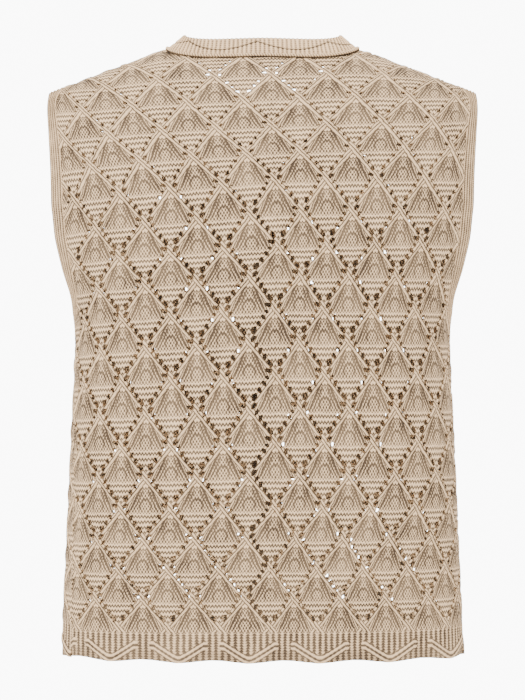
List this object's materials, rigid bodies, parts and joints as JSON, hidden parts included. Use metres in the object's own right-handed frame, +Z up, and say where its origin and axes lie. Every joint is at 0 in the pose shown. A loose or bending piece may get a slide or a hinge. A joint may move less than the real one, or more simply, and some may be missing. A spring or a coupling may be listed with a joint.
{
  "type": "sleeveless cardigan",
  "caption": "Sleeveless lace-knit cardigan held in its worn form, with ribbed neck, armhole and front bands and a closed button front.",
  "frame": {"origin": "the middle of the shoulders that carry it, level with the inner ends of the shoulder seams", "axes": "+Z up, -Y towards the back of the garment, +Y towards its buttoned front, +X towards the wearer's right"},
  "size_m": [0.3864, 0.2175, 0.5548],
  "materials": {
    "lace_knit": "matt cotton lace knit, sand beige",
    "rib_knit": "matt cotton rib knit, sand beige",
    "button": "satin beige plastic"
  },
  "bodies": {
    "root": {"back": "lace_knit", "front_left": "lace_knit", "front_right": "lace_knit", "neckband": "rib_knit", "armband_left": "rib_knit", "armband_right": "rib_knit", "button_band_left": "rib_knit", "button_band_right": "rib_knit", "button_1": "button", "button_2": "button", "button_3": "button", "button_4": "button", "button_5": "button"}
  },
  "joints": []
}
